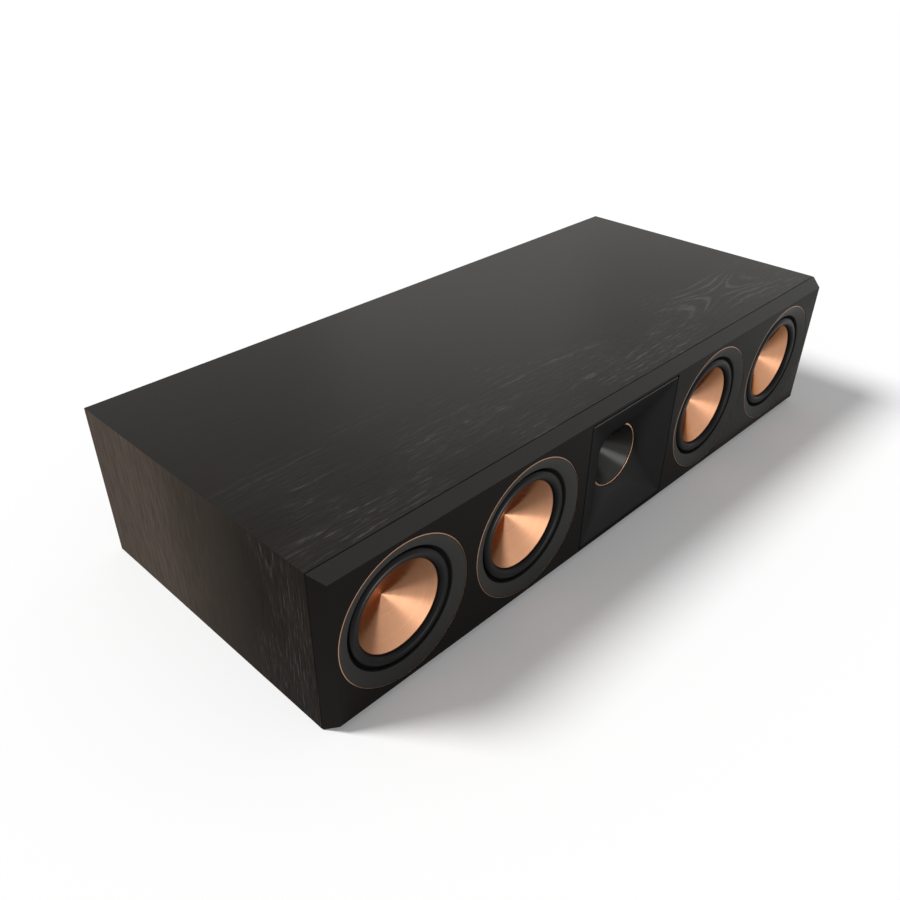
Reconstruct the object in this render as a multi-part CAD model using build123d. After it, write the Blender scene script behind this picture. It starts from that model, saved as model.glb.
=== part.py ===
from build123d import *

import math
import os

# All sizes are millimetres. The origin is the middle of the footprint, +Z is up and the front faces -Y.

# Cabinet
WIDTH = 830.0
HEIGHT = 176.0
DEPTH = 362.0
PANEL = 18.0
BACK_PANEL = 18.0
FIT = 0.3

# Front baffle: a bevelled slab, a shadow gap behind it and a tongue inside the cabinet
SLAB = 15.0
BEVEL = 8.4
SHADOW_GAP = 1.0
SHADOW_DEPTH = 1.5
TONGUE = 9.0

# Inner braces and damping pad
BRACE = 15.0
BRACE_WINDOW_LENGTH = 76.0
BRACE_WINDOW_HEIGHT = 80.0
BRACE_WINDOW_CORNER = 12.0
BRACE_WINDOWS = 3
PAD_WIDTH = 150.0
PAD_THICKNESS = 20.0

# Row of drivers: gaps between the horn, the woofers and the cabinet's ends
HORN_GAP = 13.0
WOOFER_GAP = 12.7
END_GAP = 13.3

# Woofer trim and accent ring, with depths behind the front face
ACCENT_WIDTH = 1.0
RING_FIT = 0.3
TRIM_WIDTH = 12.4
TRIM_INSET = 0.5
TRIM_DISH = 5.2

# Woofer surround: a rubber roll between the cone and a flat edge on the frame's flange
SURROUND_PLANE = 10.0
SURROUND_SKIN = 1.0
SURROUND_EDGE = 2.5
SURROUND_LIP = 0.5
ROLL_HALF_WIDTH = 5.5
ROLL_HEIGHT = 5.5
ROLL_CREST = 5.0

# Woofer cone
CONE_DEPTH = 22.5
CONE_WALL = 0.9
BOND = 0.3

# Woofer frame, spider and motor
FLANGE = 2.5
FLANGE_REACH = 1.5
SEAT_WIDTH = 11.0
LEGS = 4
LEG_WIDTH = 14.0
LEG_DEPTH = 5.0
CUP_INSET = 1.0
CUP_WALL = 2.0
CUP_DEPTH = 12.0
SPIDER_PLANE = 38.0
SPIDER_SKIN = 0.8
COIL_RADIUS = 16.0
COIL_WALL = 1.0
COIL_GAP = 0.6
COIL_BELOW_PLATE = 4.0
TOP_PLATE = 6.0
TOP_PLATE_INSET = 4.0
MAGNET_RADIUS = 42.0
MAGNET_INNER_RADIUS = 24.0
MAGNET_HEIGHT = 16.0
YOKE_INSET = 3.0
YOKE_PLATE = 6.0

# Horn: a square mouth that flares in to a round accent ring, then a round throat
HORN_SIDE = 152.0
HORN_GROOVE = 0.8
HORN_FLANGE = 8.0
HORN_LIP = 1.6
HORN_CORNER = 2.0
HORN_LEDGE = 10.0
FLARE_DEPTH = 21.0
FLARE_RADIUS = 36.8
FLARE_FLAT = 0.04
FLARE_START = 10.0
FLARE_STEPS = 5
HORN_RING_WIDTH = 2.0
HORN_RING_HEIGHT = 1.4
THROAT_RADIUS = 12.7
THROAT_DEPTH = 54.0
HORN_WALL = 5.0
HORN_BODY_DEPTH = 28.0
HORN_BACK_RADIUS = 38.0

# Tweeter behind the horn
DOME_CLEARANCE = 0.7
DOME_RISE = 4.0
DOME_SKIN = 0.5
DOME_EDGE = 6.0
TWEETER_PLATE = 5.0
TWEETER_MAGNET_RADIUS = 34.0
TWEETER_MAGNET_HEIGHT = 22.0

# Rear ports
PORT_FROM_END = 110.0
PORT_RADIUS = 25.0
PORT_WALL = 2.5
PORT_FLARE = 12.0
PORT_LIP = 4.0
PORT_FLANGE = 3.0
PORT_LENGTH = 110.0

# Terminal cup and binding posts
TERMINAL_LENGTH = 96.0
TERMINAL_HEIGHT = 70.0
TERMINAL_FLANGE = 3.0
TERMINAL_CORNER = 8.0
DISH_LENGTH = 76.0
DISH_HEIGHT = 50.0
DISH_DEPTH = 26.0
DISH_WALL = 2.5
DISH_DRAFT = 8.0
POST_SPACING = 19.0
POST_RADIUS = 3.5
POST_LENGTH = 22.0
PLUG_RADIUS = 2.05
PLUG_DEPTH = 16.0
CAP_RADIUS = 7.5
CAP_SIDE_COUNT = 10
CAP_START = 5.0
CAP_LENGTH = 16.0
CAP_CHAMFER = 1.2
RUNNING_FIT = 0.06

# Crossover
BOARD_LENGTH = 170.0
BOARD_WIDTH = 84.0
BOARD_THICKNESS = 1.6
BOARD_SETBACK = 10.0
SPACER_HEIGHT = 8.0
SPACER_WIDTH = 10.0
INDUCTOR_RADIUS = 19.0
INDUCTOR_BORE = 9.0
INDUCTOR_HEIGHT = 20.0
INDUCTOR_OFFSET = 54.0
CAPACITOR_SIZE = (15.0, 40.0, 22.0)
CAPACITOR_PITCH = 24.0
CAPACITOR_OFFSET = 10.0
RESISTOR_SIZE = (40.0, 9.0, 9.0)
RESISTOR_OFFSET = 30.0

# Places worked out from the sizes above
FRONT_Y = -DEPTH / 2
CABINET_FRONT_Y = FRONT_Y + SLAB
BACK_Y = DEPTH / 2
AXIS_Z = HEIGHT / 2
INNER_WIDTH = WIDTH - 2 * PANEL
INNER_HEIGHT = HEIGHT - 2 * PANEL
BAFFLE_BACK_Y = CABINET_FRONT_Y + TONGUE
BACK_PANEL_Y = BACK_Y - BACK_PANEL

ACCENT_RADIUS = (WIDTH / 2 - HORN_SIDE / 2 - HORN_GAP - WOOFER_GAP - END_GAP) / 4
WOOFER_INNER_X = HORN_SIDE / 2 + HORN_GAP + ACCENT_RADIUS
WOOFER_OUTER_X = WOOFER_INNER_X + 2 * ACCENT_RADIUS + WOOFER_GAP
WOOFER_X = (-WOOFER_OUTER_X, -WOOFER_INNER_X, WOOFER_INNER_X, WOOFER_OUTER_X)
BRACE_X = (WOOFER_INNER_X + WOOFER_OUTER_X) / 2
PORT_X = WIDTH / 2 - PORT_FROM_END

TRIM_OUTER_RADIUS = ACCENT_RADIUS - ACCENT_WIDTH - RING_FIT
TRIM_INNER_RADIUS = TRIM_OUTER_RADIUS - TRIM_WIDTH
SURROUND_RADIUS = TRIM_INNER_RADIUS - RING_FIT
ROLL_OUTER_RADIUS = SURROUND_RADIUS - SURROUND_EDGE
ROLL_RADIUS = ROLL_OUTER_RADIUS - ROLL_HALF_WIDTH
CONE_RADIUS = ROLL_RADIUS - ROLL_HALF_WIDTH - SURROUND_LIP
CUTOUT_RADIUS = ACCENT_RADIUS - SEAT_WIDTH
FLANGE_INNER_RADIUS = ROLL_OUTER_RADIUS - FLANGE_REACH
CUP_RADIUS = CONE_RADIUS - CUP_INSET
TOP_PLATE_RADIUS = MAGNET_RADIUS - TOP_PLATE_INSET
YOKE_RADIUS = MAGNET_RADIUS - YOKE_INSET

FLANGE_BACK = SURROUND_PLANE + FLANGE
CONE_APEX = SURROUND_PLANE + CONE_DEPTH
CUP_BACK = SPIDER_PLANE + CUP_DEPTH
PLATE_BACK = CUP_BACK + TOP_PLATE
MAGNET_BACK = PLATE_BACK + MAGNET_HEIGHT
YOKE_BACK = MAGNET_BACK + YOKE_PLATE
POLE_RADIUS = COIL_RADIUS - COIL_GAP
PLATE_BORE = COIL_RADIUS + COIL_WALL + COIL_GAP

MOUTH_HALF = HORN_SIDE / 2 - HORN_LIP
RING_DEPTH = FLARE_DEPTH + HORN_RING_HEIGHT
INNER_HORN_RADIUS = FLARE_RADIUS - HORN_RING_WIDTH - RING_FIT
DISH_FLOOR_Y = BACK_Y - DISH_DEPTH
PORT_FLANGE_RADIUS = PORT_RADIUS + PORT_FLARE + PORT_LIP
PORT_COLLAR_RADIUS = PORT_RADIUS + PORT_FLARE / 2 + PORT_WALL


def block(x0, x1, y0, y1, z0, z1):
    """A box between two corners."""
    middle = Pos((x0 + x1) / 2, (y0 + y1) / 2, (z0 + z1) / 2)
    return middle * Box(x1 - x0, y1 - y0, z1 - z0)


def centred_block(width, height, y0, y1):
    """A box of this width and height about the drivers' level, between two depths."""
    return block(-width / 2, width / 2, y0, y1, AXIS_Z - height / 2, AXIS_Z + height / 2)


def standing_block(length, width, height):
    """A box that stands on z = 0 about the origin."""
    return block(-length / 2, length / 2, -width / 2, width / 2, 0, height)


def turned(*points):
    """A solid turned about the Y axis from the corners (radius, depth) of its section."""
    return revolve(make_face(Polyline(*points, close=True)), Axis.Y)


def upright(depth):
    """A plane across the Y axis at this depth, with its own y pointing up."""
    return Plane(origin=(0, depth, 0), x_dir=(1, 0, 0), z_dir=(0, -1, 0))


def on_front(shape, x=0.0):
    """Places a shape drawn behind y = 0 behind the front face, at this distance from the middle."""
    return Pos(x, FRONT_Y, AXIS_Z) * shape


def at_woofers(shape):
    """Four copies of a woofer's piece, one at each woofer's place."""
    return Compound([on_front(shape, x) for x in WOOFER_X])


def cabinet_panel(outer, inner):
    """A mitred wall of the cabinet from its outer and inner edge, each two corners (x, z)."""
    section = upright(CABINET_FRONT_Y) * make_face(Polyline(*outer, *inner, close=True))
    return extrude(section, amount=-(BACK_Y - CABINET_FRONT_Y))


def cabinet_panels():
    """The four mitred walls, by name."""
    half = WIDTH / 2
    inner = INNER_WIDTH / 2
    low = PANEL
    high = HEIGHT - PANEL
    return {
        "cabinet_top": cabinet_panel([(-half, HEIGHT), (half, HEIGHT)], [(inner, high), (-inner, high)]),
        "cabinet_bottom": cabinet_panel([(-half, 0), (half, 0)], [(inner, low), (-inner, low)]),
        "cabinet_left_end": cabinet_panel([(-half, 0), (-half, HEIGHT)], [(-inner, high), (-inner, low)]),
        "cabinet_right_end": cabinet_panel([(half, 0), (half, HEIGHT)], [(inner, high), (inner, low)]),
    }


def rounded_block(length, height, corner, y0, y1):
    """A block with rounded upright outline between two depths, about the drivers' level."""
    section = upright(y0) * RectangleRounded(length, height, corner)
    return Pos(0, 0, AXIS_Z) * extrude(section, amount=-(y1 - y0))


def cabinet_back():
    """The back panel inside the cabinet's walls, with seats for the ports and the terminal cup."""
    panel = centred_block(INNER_WIDTH - 2 * FIT, INNER_HEIGHT - 2 * FIT, BACK_PANEL_Y, BACK_Y)
    collar = PORT_COLLAR_RADIUS + FIT
    rim = PORT_FLANGE_RADIUS + FIT
    for x in (-PORT_X, PORT_X):
        seat = turned((0, -PORT_FLANGE), (rim, -PORT_FLANGE), (rim, 0), (0, 0))
        hole = turned((0, -BACK_PANEL), (collar, -BACK_PANEL), (collar, 0), (0, 0))
        panel -= Pos(x, BACK_Y, AXIS_Z) * (seat + hole)
    length = TERMINAL_LENGTH + 2 * FIT
    height = TERMINAL_HEIGHT + 2 * FIT
    corner = TERMINAL_CORNER + FIT
    panel -= rounded_block(length, height, corner, BACK_Y - TERMINAL_FLANGE, BACK_Y)
    inside = 2 * (DISH_WALL + FIT)
    panel -= rounded_block(DISH_LENGTH + inside, DISH_HEIGHT + inside, corner, BACK_PANEL_Y, BACK_Y)
    return panel


def brace(x):
    """An upright brace from the baffle to the back, with a row of rounded windows."""
    y0 = BAFFLE_BACK_Y
    y1 = BACK_PANEL_Y
    plate = block(x - BRACE / 2, x + BRACE / 2, y0, y1, PANEL, HEIGHT - PANEL)
    pitch = (y1 - y0) / BRACE_WINDOWS
    for i in range(BRACE_WINDOWS):
        place = Plane(origin=(x, y0 + pitch * (i + 0.5), AXIS_Z), x_dir=(0, 1, 0), z_dir=(1, 0, 0))
        window = place * RectangleRounded(BRACE_WINDOW_LENGTH, BRACE_WINDOW_HEIGHT, BRACE_WINDOW_CORNER)
        plate -= extrude(window, amount=BRACE, both=True)
    return plate


def damping_pad():
    """A fibre pad under the top panel, behind the drivers and between the braces."""
    y1 = BACK_PANEL_Y - FIT
    top = HEIGHT - PANEL
    half = BRACE_X - BRACE / 2 - FIT
    return block(-half, half, y1 - PAD_WIDTH, y1, top - PAD_THICKNESS, top)


def front_baffle():
    """The bevelled slab with its shadow gap, its tongue and the seats of the drivers."""
    face = Rectangle(WIDTH - 2 * BEVEL, HEIGHT - 2 * BEVEL)
    rear = Rectangle(WIDTH, HEIGHT)
    slab = loft([upright(0) * face, upright(SLAB - SHADOW_GAP) * rear])
    body = on_front(slab)
    neck_width = WIDTH - 2 * SHADOW_DEPTH
    neck_height = HEIGHT - 2 * SHADOW_DEPTH
    body += centred_block(neck_width, neck_height, CABINET_FRONT_Y - SHADOW_GAP, CABINET_FRONT_Y)
    body += centred_block(INNER_WIDTH - 2 * FIT, INNER_HEIGHT - 2 * FIT, CABINET_FRONT_Y, BAFFLE_BACK_Y)
    seat = ACCENT_RADIUS + RING_FIT
    through = SLAB + TONGUE
    pocket = turned((0, 0), (seat, 0), (seat, FLANGE_BACK), (CUTOUT_RADIUS, FLANGE_BACK),
                    (CUTOUT_RADIUS, through), (0, through))
    for x in WOOFER_X:
        body -= on_front(pocket, x)
    side = HORN_SIDE + 2 * HORN_GROOVE
    inner = HORN_SIDE - 2 * HORN_LEDGE
    body -= rounded_block(side, side, HORN_CORNER, FRONT_Y, FRONT_Y + HORN_FLANGE)
    body -= rounded_block(inner, inner, HORN_CORNER, FRONT_Y, BAFFLE_BACK_Y)
    return body


def accent_ring():
    """The thin copper band round a woofer, flush with the front face."""
    inner = ACCENT_RADIUS - ACCENT_WIDTH
    return turned((inner, 0), (ACCENT_RADIUS, 0), (ACCENT_RADIUS, SURROUND_PLANE), (inner, SURROUND_PLANE))


def trim_ring():
    """The dished ring that covers a woofer's flange, round the edge of its surround."""
    return turned((TRIM_INNER_RADIUS, TRIM_DISH), (TRIM_OUTER_RADIUS, TRIM_INSET),
                  (TRIM_OUTER_RADIUS, SURROUND_PLANE), (TRIM_INNER_RADIUS, SURROUND_PLANE))


def surround():
    """The rubber surround: a roll that stands forward between the cone and its flat outer edge."""
    inner = CONE_RADIUS + BOND
    front = SURROUND_PLANE - SURROUND_SKIN
    crest = SURROUND_PLANE - ROLL_HEIGHT
    return turned((inner, SURROUND_PLANE), (inner, front), (ROLL_RADIUS - ROLL_CREST / 2, crest),
                  (ROLL_RADIUS + ROLL_CREST / 2, crest), (ROLL_OUTER_RADIUS, front), (SURROUND_RADIUS, front),
                  (SURROUND_RADIUS, SURROUND_PLANE))


def cone():
    """The one-piece pointed cone."""
    return turned((0, CONE_APEX), (CONE_RADIUS, SURROUND_PLANE), (CONE_RADIUS, SURROUND_PLANE + CONE_WALL),
                  (0, CONE_APEX + CONE_WALL))


def voice_coil():
    """The coil on its former, from behind the cone down through the magnet's gap."""
    slope = CONE_DEPTH / CONE_RADIUS
    start = CONE_APEX + CONE_WALL - COIL_RADIUS * slope + BOND
    end = PLATE_BACK + COIL_BELOW_PLATE
    outer = COIL_RADIUS + COIL_WALL
    return turned((COIL_RADIUS, start), (outer, start), (outer, end), (COIL_RADIUS, end))


def spider():
    """The cloth disc that centres the coil, from its former out to the rim of the frame's cup."""
    inner = COIL_RADIUS + COIL_WALL + BOND
    outer = CUP_RADIUS - BOND
    front = SPIDER_PLANE - SPIDER_SKIN
    return turned((inner, front), (outer, front), (outer, SPIDER_PLANE), (inner, SPIDER_PLANE))


def woofer_frame():
    """The cast frame: a flange in the baffle, legs and a cup that carries the spider and the motor."""
    flange = turned((FLANGE_INNER_RADIUS, SURROUND_PLANE), (ACCENT_RADIUS, SURROUND_PLANE),
                    (ACCENT_RADIUS, FLANGE_BACK), (FLANGE_INNER_RADIUS, FLANGE_BACK))
    inner = CUP_RADIUS - CUP_WALL
    floor = CUP_BACK - CUP_WALL
    cup = turned((inner, SPIDER_PLANE), (CUP_RADIUS, SPIDER_PLANE), (CUP_RADIUS, CUP_BACK),
                 (PLATE_BORE, CUP_BACK), (PLATE_BORE, floor), (inner, floor))
    outside = CUTOUT_RADIUS - RING_FIT
    wall_middle = CUP_RADIUS - CUP_WALL / 2
    below_rim = SPIDER_PLANE + CUP_WALL
    top = [(outside - LEG_DEPTH, SURROUND_PLANE), (outside, SURROUND_PLANE), (outside, FLANGE_BACK)]
    bottom = [(CUP_RADIUS + CUP_WALL, CUP_BACK), (wall_middle, CUP_BACK), (wall_middle, below_rim),
              (CUP_RADIUS + CUP_WALL, below_rim)]
    leg = extrude(make_face(Polyline(*top, *bottom, close=True)), amount=LEG_WIDTH / 2, both=True)
    frame = flange + cup
    for i in range(LEGS):
        frame += Rot(0, (i + 0.5) * 360 / LEGS, 0) * leg
    return frame


def top_plate():
    """The steel plate behind the frame, round the coil."""
    return turned((PLATE_BORE, CUP_BACK), (TOP_PLATE_RADIUS, CUP_BACK), (TOP_PLATE_RADIUS, PLATE_BACK),
                  (PLATE_BORE, PLATE_BACK))


def magnet():
    """The ferrite ring magnet."""
    return turned((MAGNET_INNER_RADIUS, PLATE_BACK), (MAGNET_RADIUS, PLATE_BACK),
                  (MAGNET_RADIUS, MAGNET_BACK), (MAGNET_INNER_RADIUS, MAGNET_BACK))


def yoke():
    """The steel back plate with its pole, inside the coil."""
    return turned((0, CUP_BACK), (POLE_RADIUS, CUP_BACK), (POLE_RADIUS, MAGNET_BACK),
                  (YOKE_RADIUS, MAGNET_BACK), (YOKE_RADIUS, YOKE_BACK), (0, YOKE_BACK))


def flare_section(step):
    """One outline of the horn's flare: square at the mouth, round at the ring, on a quarter ellipse."""
    start = math.radians(FLARE_START)
    angle = start + step / FLARE_STEPS * (math.pi / 2 - start)
    inward = (math.sin(angle) - math.sin(start)) / (1 - math.sin(start))
    depth = FLARE_DEPTH * (1 - math.cos(angle) / math.cos(start))
    half = MOUTH_HALF + (FLARE_RADIUS - MOUTH_HALF) * inward
    corner = HORN_CORNER + (FLARE_RADIUS - FLARE_FLAT - HORN_CORNER) * inward
    return upright(depth) * RectangleRounded(2 * half, 2 * half, corner)


def horn():
    """The moulded horn: square flange, flared mouth, seat for the accent ring and a round throat."""
    square = upright(0) * RectangleRounded(HORN_SIDE, HORN_SIDE, HORN_CORNER)
    body = extrude(square, amount=-HORN_FLANGE)
    shoulder = HORN_SIDE / 2 - HORN_LEDGE - HORN_WALL
    body += turned((0, HORN_FLANGE), (shoulder, HORN_FLANGE), (shoulder, HORN_BODY_DEPTH),
                   (HORN_BACK_RADIUS, HORN_BODY_DEPTH), (HORN_BACK_RADIUS, THROAT_DEPTH), (0, THROAT_DEPTH))
    body -= loft([flare_section(step) for step in range(FLARE_STEPS + 1)], ruled=True)
    body -= turned((0, FLARE_DEPTH), (FLARE_RADIUS, FLARE_DEPTH), (FLARE_RADIUS, RING_DEPTH),
                   (INNER_HORN_RADIUS, RING_DEPTH), (THROAT_RADIUS, THROAT_DEPTH), (0, THROAT_DEPTH))
    return body


def horn_accent_ring():
    """The copper ring where the flare meets the round inner horn."""
    outer = FLARE_RADIUS - RING_FIT
    inner = outer - HORN_RING_WIDTH
    return turned((inner, FLARE_DEPTH), (outer, FLARE_DEPTH), (outer, RING_DEPTH), (inner, RING_DEPTH))


def tweeter_dome():
    """The metal diaphragm in the throat, with its flat edge behind the horn."""
    radius = THROAT_RADIUS - DOME_CLEARANCE
    edge = radius + DOME_EDGE
    back = THROAT_DEPTH + DOME_SKIN
    return turned((0, THROAT_DEPTH - DOME_RISE), (radius, THROAT_DEPTH), (edge, THROAT_DEPTH),
                  (edge, back), (0, back))


def tweeter_faceplate():
    """The ring that holds the dome against the horn."""
    front = THROAT_DEPTH + DOME_SKIN
    back = front + TWEETER_PLATE
    return turned((THROAT_RADIUS, front), (HORN_BACK_RADIUS, front),
                  (HORN_BACK_RADIUS, back), (THROAT_RADIUS, back))


def tweeter_magnet():
    """The tweeter's magnet in its cup."""
    front = THROAT_DEPTH + DOME_SKIN + TWEETER_PLATE
    back = front + TWEETER_MAGNET_HEIGHT
    return turned((0, front), (TWEETER_MAGNET_RADIUS, front), (TWEETER_MAGNET_RADIUS, back), (0, back))


def port():
    """A flared port tube with its flange flush with the back."""
    mouth = PORT_RADIUS + PORT_FLARE
    outer = PORT_RADIUS + PORT_WALL
    bend = PORT_FLARE * (1 - math.sqrt(0.5))
    tube = [(outer, -PORT_FLARE), (outer, -PORT_LENGTH), (PORT_RADIUS, -PORT_LENGTH)]
    flare = [(PORT_RADIUS, -PORT_FLARE), (PORT_RADIUS + bend, -bend), (mouth, 0)]
    flange = [(PORT_FLANGE_RADIUS, 0), (PORT_FLANGE_RADIUS, -PORT_FLANGE), (PORT_COLLAR_RADIUS, -PORT_FLANGE)]
    return turned(*tube, *flare, *flange)


def rear_ports():
    """The two ports in the back panel."""
    return Compound([Pos(x, BACK_Y, AXIS_Z) * port() for x in (-PORT_X, PORT_X)])


def terminal_cup():
    """The moulded cup in the back panel: a flange and a drafted dish with two holes for the posts."""
    corner = TERMINAL_CORNER
    flange = rounded_block(TERMINAL_LENGTH, TERMINAL_HEIGHT, corner, BACK_Y - TERMINAL_FLANGE, BACK_Y)
    outside = 2 * DISH_WALL
    floor_back = DISH_FLOOR_Y - DISH_WALL
    body = flange + rounded_block(DISH_LENGTH + outside, DISH_HEIGHT + outside, corner, floor_back, BACK_Y)
    mouth = upright(BACK_Y) * RectangleRounded(DISH_LENGTH, DISH_HEIGHT, corner)
    floor_length = DISH_LENGTH - DISH_DRAFT
    floor_height = DISH_HEIGHT - DISH_DRAFT
    floor = upright(DISH_FLOOR_Y) * RectangleRounded(floor_length, floor_height, corner)
    body -= Pos(0, 0, AXIS_Z) * loft([mouth, floor])
    hole = POST_RADIUS + RUNNING_FIT
    for x in (-POST_SPACING / 2, POST_SPACING / 2):
        bore = turned((0, floor_back), (hole, floor_back), (hole, DISH_FLOOR_Y), (0, DISH_FLOOR_Y))
        body -= Pos(x, 0, AXIS_Z) * bore
    return body


def binding_post(x):
    """A metal post through the cup's floor, bored from behind for a plug."""
    start = DISH_FLOOR_Y - DISH_WALL
    end = DISH_FLOOR_Y + POST_LENGTH
    bottom = end - PLUG_DEPTH
    post = turned((0, start), (POST_RADIUS, start), (POST_RADIUS, end), (PLUG_RADIUS, end),
                  (PLUG_RADIUS, bottom), (0, bottom))
    return Pos(x, 0, AXIS_Z) * post


def post_cap(x):
    """The many-sided plastic cap that turns on a binding post."""
    start = DISH_FLOOR_Y + CAP_START
    side = upright(start) * RegularPolygon(CAP_RADIUS, CAP_SIDE_COUNT)
    cap = extrude(side, amount=-CAP_LENGTH)
    cap = chamfer(cap.faces().sort_by(Axis.Y)[-1].edges(), CAP_CHAMFER)
    end = start + CAP_LENGTH
    hole = POST_RADIUS + RUNNING_FIT
    cap -= turned((0, start), (hole, start), (hole, end), (0, end))
    return Pos(x, 0, AXIS_Z) * cap


def crossover():
    """The filter board on two spacers on the bottom panel, with its coils, capacitors and resistor."""
    y1 = DISH_FLOOR_Y - DISH_WALL - BOARD_SETBACK
    y0 = y1 - BOARD_WIDTH
    middle = (y0 + y1) / 2
    half = BOARD_LENGTH / 2
    seat = PANEL + SPACER_HEIGHT
    top = seat + BOARD_THICKNESS
    spacers = [block(x - SPACER_WIDTH / 2, x + SPACER_WIDTH / 2, y0, y1, PANEL, seat)
               for x in (-half + SPACER_WIDTH, half - SPACER_WIDTH)]
    ring = make_face(Polyline((INDUCTOR_BORE, 0), (INDUCTOR_RADIUS, 0), (INDUCTOR_RADIUS, INDUCTOR_HEIGHT),
                              (INDUCTOR_BORE, INDUCTOR_HEIGHT), close=True))
    inductor = Rot(90, 0, 0) * revolve(ring, Axis.Y)
    inductors = [Pos(x, middle, top) * inductor for x in (-INDUCTOR_OFFSET, INDUCTOR_OFFSET)]
    can = standing_block(*CAPACITOR_SIZE)
    capacitors = [Pos(i * CAPACITOR_PITCH, middle - CAPACITOR_OFFSET, top) * can for i in (-0.5, 0.5)]
    resistor = Pos(0, middle + RESISTOR_OFFSET, top) * standing_block(*RESISTOR_SIZE)
    return {
        "crossover_board": block(-half, half, y0, y1, seat, top),
        "crossover_spacers": Compound(spacers),
        "crossover_inductors": Compound(inductors),
        "crossover_capacitors": Compound(capacitors),
        "crossover_resistor": resistor,
    }


def woofer_pieces():
    """The pieces of the four woofers: like pieces in one node, moving pieces each in their own."""
    nodes = {
        "woofer_accent_rings": at_woofers(accent_ring()),
        "woofer_trim_rings": at_woofers(trim_ring()),
        "woofer_surrounds": at_woofers(surround()),
        "woofer_spiders": at_woofers(spider()),
        "woofer_frames": at_woofers(woofer_frame()),
        "woofer_top_plates": at_woofers(top_plate()),
        "woofer_magnets": at_woofers(magnet()),
        "woofer_yokes": at_woofers(yoke()),
    }
    for number, x in enumerate(WOOFER_X, 1):
        nodes[f"woofer_{number}_cone"] = on_front(cone(), x)
        nodes[f"woofer_{number}_voice_coil"] = on_front(voice_coil(), x)
    return nodes


def horn_pieces():
    """The horn with its ring and the tweeter behind it."""
    return {
        "horn": on_front(horn()),
        "horn_accent_ring": on_front(horn_accent_ring()),
        "tweeter_dome": on_front(tweeter_dome()),
        "tweeter_faceplate": on_front(tweeter_faceplate()),
        "tweeter_magnet": on_front(tweeter_magnet()),
    }


def rear_pieces():
    """The back panel and what is set into it."""
    side = POST_SPACING / 2
    return {
        "cabinet_back": cabinet_back(),
        "rear_ports": rear_ports(),
        "terminal_cup": terminal_cup(),
        "red_post": binding_post(-side),
        "black_post": binding_post(side),
        "red_post_cap": post_cap(-side),
        "black_post_cap": post_cap(side),
    }


def all_pieces():
    """Every piece of the speaker by its name."""
    pieces = cabinet_panels()
    pieces["brace_left"] = brace(-BRACE_X)
    pieces["brace_right"] = brace(BRACE_X)
    pieces["damping_pad"] = damping_pad()
    pieces["front_baffle"] = front_baffle()
    pieces.update(woofer_pieces())
    pieces.update(horn_pieces())
    pieces.update(rear_pieces())
    pieces.update(crossover())
    return pieces


os.makedirs("parts", exist_ok=True)
for name, piece in all_pieces().items():
    export_step(piece, f"parts/{name}.step")
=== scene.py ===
"""Looks of a center channel speaker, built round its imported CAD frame.

Sizes of pieces are in millimetres, behind the front face or before the back one where they are
depths. Places of lamps and of the camera are in metres.
"""

import logging
import math
from dataclasses import dataclass
from enum import Enum
from typing import Dict, List, Optional, Sequence, Tuple, Union

import bmesh
import bpy
import numpy as np
from mathutils import Euler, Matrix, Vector


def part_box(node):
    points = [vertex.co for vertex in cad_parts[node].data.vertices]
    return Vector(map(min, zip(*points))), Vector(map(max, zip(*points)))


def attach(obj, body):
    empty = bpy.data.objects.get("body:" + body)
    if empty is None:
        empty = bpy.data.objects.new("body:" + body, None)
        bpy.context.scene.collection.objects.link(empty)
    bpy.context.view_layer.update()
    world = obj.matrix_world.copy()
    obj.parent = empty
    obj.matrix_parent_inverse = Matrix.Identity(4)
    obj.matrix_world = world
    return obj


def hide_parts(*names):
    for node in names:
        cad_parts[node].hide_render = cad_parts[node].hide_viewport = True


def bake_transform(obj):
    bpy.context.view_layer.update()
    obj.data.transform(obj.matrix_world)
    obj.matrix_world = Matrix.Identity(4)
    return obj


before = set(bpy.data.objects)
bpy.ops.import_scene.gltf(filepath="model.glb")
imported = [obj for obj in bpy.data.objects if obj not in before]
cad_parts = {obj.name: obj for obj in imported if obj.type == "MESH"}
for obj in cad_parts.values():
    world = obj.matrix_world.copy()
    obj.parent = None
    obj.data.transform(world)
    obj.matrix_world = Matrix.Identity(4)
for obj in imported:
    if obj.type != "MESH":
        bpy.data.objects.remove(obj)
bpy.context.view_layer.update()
LOG = logging.getLogger("center_speaker")

MM = 0.001
WOOFER_PLACES = (-326.7, -164.0, 164.0, 326.7)
WHITE = (1.0, 1.0, 1.0)
Colour = Tuple[float, float, float]
Spot = Tuple[float, float, float]
Point = Tuple[float, float]
Ring = List[Spot]
Value = Union["Signal", float, Colour]


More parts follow.
